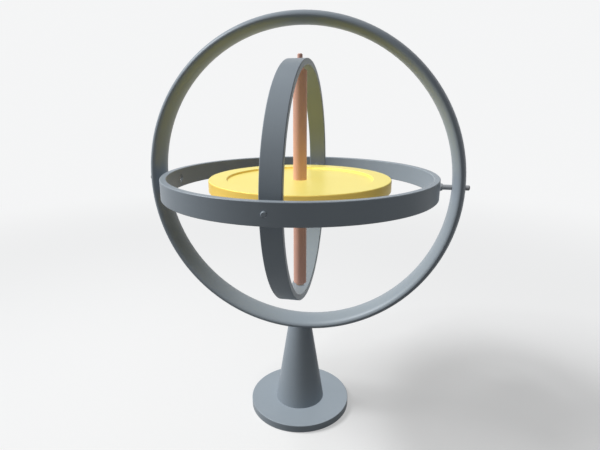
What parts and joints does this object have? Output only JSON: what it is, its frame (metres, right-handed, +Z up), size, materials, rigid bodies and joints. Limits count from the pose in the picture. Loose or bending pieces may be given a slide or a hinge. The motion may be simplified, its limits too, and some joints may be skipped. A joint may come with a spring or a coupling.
{
  "type": "gyroscope on stand",
  "caption": "Demonstration gyroscope: a brass rotor on an axle inside nested gimbal rings, held in an upright outer ring on a tapered column with a round base.",
  "frame": {"origin": "centre of the base's underside, on the table", "axes": "+Z up, +X to the right along the middle ring's pivot line, in the outer ring's plane, -Y to the front"},
  "size_m": [0.2164, 0.1816, 0.275],
  "materials": {
    "satin_steel": "fine satin, cool grey, lightly reflective",
    "bright_steel": "satin, light grey",
    "bush_steel": "turned, satin grey",
    "dark_steel": "black oxide",
    "rotor_brass": "turned faces with fine rings, bright",
    "axle_copper": "copper coloured, satin",
    "pad_rubber": "matt black"
  },
  "bodies": {
    "stand": {"base_plate": "satin_steel", "base_pad": "pad_rubber", "base_screw": "dark_steel", "column": "satin_steel", "ring_stud": "dark_steel", "outer_ring": "satin_steel", "outer_pin_left": "bright_steel", "outer_pin_right": "bright_steel", "outer_washer_left": "bush_steel", "outer_washer_right": "bush_steel"},
    "middle_gimbal": {"middle_ring": "satin_steel", "middle_bush_left": "bush_steel", "middle_bush_right": "bush_steel", "middle_pin_front": "bright_steel", "middle_pin_back": "bright_steel", "middle_washer_front": "bush_steel", "middle_washer_back": "bush_steel"},
    "inner_gimbal": {"inner_ring": "satin_steel", "inner_bush_front": "bush_steel", "inner_bush_back": "bush_steel", "inner_bush_top": "bush_steel", "inner_bush_bottom": "bush_steel"},
    "rotor": {"rotor_disc": "rotor_brass", "spin_axle": "axle_copper", "rotor_key": "dark_steel", "axle_washer_top": "bush_steel", "axle_washer_bottom": "bush_steel"}
  },
  "joints": [
    {"name": "middle_ring_turn", "type": "hinge", "parent": "stand", "child": "middle_gimbal", "pos_m": [0, 0, 0.1695], "axis": [1, 0, 0], "continuous": true},
    {"name": "inner_ring_turn", "type": "hinge", "parent": "middle_gimbal", "child": "inner_gimbal", "pos_m": [0, 0, 0.1695], "axis": [0, 1, 0], "continuous": true},
    {"name": "rotor_spin", "type": "hinge", "parent": "inner_gimbal", "child": "rotor", "pos_m": [0, 0, 0.1695], "axis": [0, 0, 1], "continuous": true}
  ]
}
